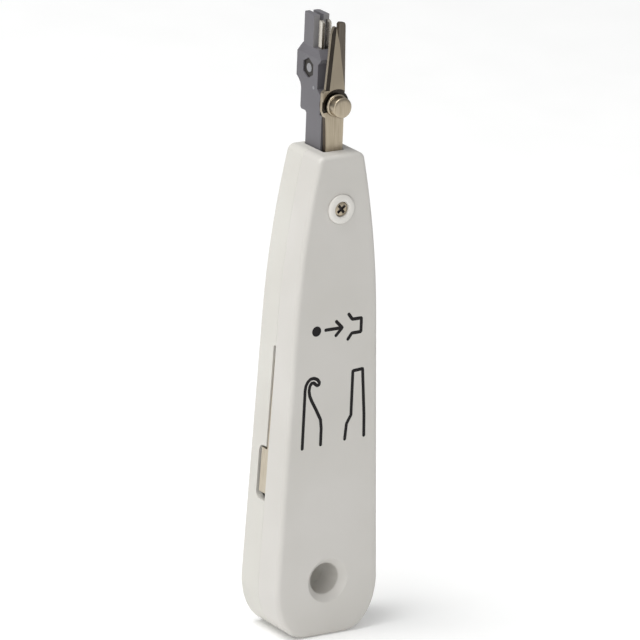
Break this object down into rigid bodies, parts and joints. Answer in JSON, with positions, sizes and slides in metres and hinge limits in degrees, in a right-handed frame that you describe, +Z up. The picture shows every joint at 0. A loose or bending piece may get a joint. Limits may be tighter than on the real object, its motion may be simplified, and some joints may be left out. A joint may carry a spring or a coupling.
{
  "type": "punch down tool",
  "caption": "Slim two-shell insertion tool with a spring-loaded forked head, wire scissors, a hook and a release blade folded into its sides, and a hanging hole.",
  "frame": {"origin": "middle of the bottom end of the handle, on the plane where the two shells meet (the head reaches further back, so this is 0.86 mm in front of the middle of the overall depth)", "axes": "+Z runs up the handle to the forked tip, the front face with the screw looks along -Y, the hook is on the -X side"},
  "size_m": [0.0334, 0.0217, 0.1764],
  "materials": {
    "shell_plastic": "off-white moulded ABS, fine satin",
    "bushing_plastic": "off-white moulded acetal",
    "head_plastic": "grey glass-filled nylon",
    "guide_plastic": "black moulded acetal",
    "nickel_steel": "nickel-plated stamped steel",
    "bright_steel": "bright zinc-plated steel",
    "spring_steel": "drawn spring steel",
    "insert_brass": "turned brass"
  },
  "bodies": {
    "handle": {"front_shell": "shell_plastic", "back_shell": "shell_plastic", "shell_screw": "bright_steel", "guide_bushing": "bushing_plastic", "threaded_insert": "insert_brass", "spring_seat": "bright_steel", "main_spring": "spring_steel", "pivot_pins": "bright_steel", "pivot_washers": "spring_steel"},
    "head": {"insertion_head": "head_plastic", "insertion_blade": "nickel_steel", "clamp_screw": "bright_steel", "clamp_nut": "bright_steel", "cross_pin": "bright_steel", "fixed_scissor_blade": "nickel_steel", "scissor_rivet": "nickel_steel", "rivet_washer": "nickel_steel", "leg_rivets": "bright_steel", "spring_guide": "guide_plastic"},
    "scissor_blade": {"moving_scissor_blade": "nickel_steel"},
    "hook": {"hook": "nickel_steel"},
    "release_blade": {"release_blade": "nickel_steel"}
  },
  "joints": [
    {"name": "head_slide", "type": "slide", "parent": "handle", "child": "head", "axis": [0, 0, -1], "range_m": [0, 0.008], "stiffness_N_per_m": 2500, "springref_m": -0.006, "deforming": ["main_spring"]},
    {"name": "scissor_pivot", "type": "hinge", "parent": "head", "child": "scissor_blade", "pos_m": [0.00025, 0, 0.15275], "axis": [0, -1, 0], "range_deg": [0, 5]},
    {"name": "hook_pivot", "type": "hinge", "parent": "handle", "child": "hook", "pos_m": [-0.0108, 0, 0.0455], "axis": [0, -1, 0], "range_deg": [0, 95]},
    {"name": "release_blade_pivot", "type": "hinge", "parent": "handle", "child": "release_blade", "pos_m": [0.0108, 0, 0.0455], "axis": [0, 1, 0], "range_deg": [0, 95]}
  ],
  "couplings": [
    {"joint": "scissor_pivot", "follows": "head_slide", "rad_per_m": 10.908}
  ]
}
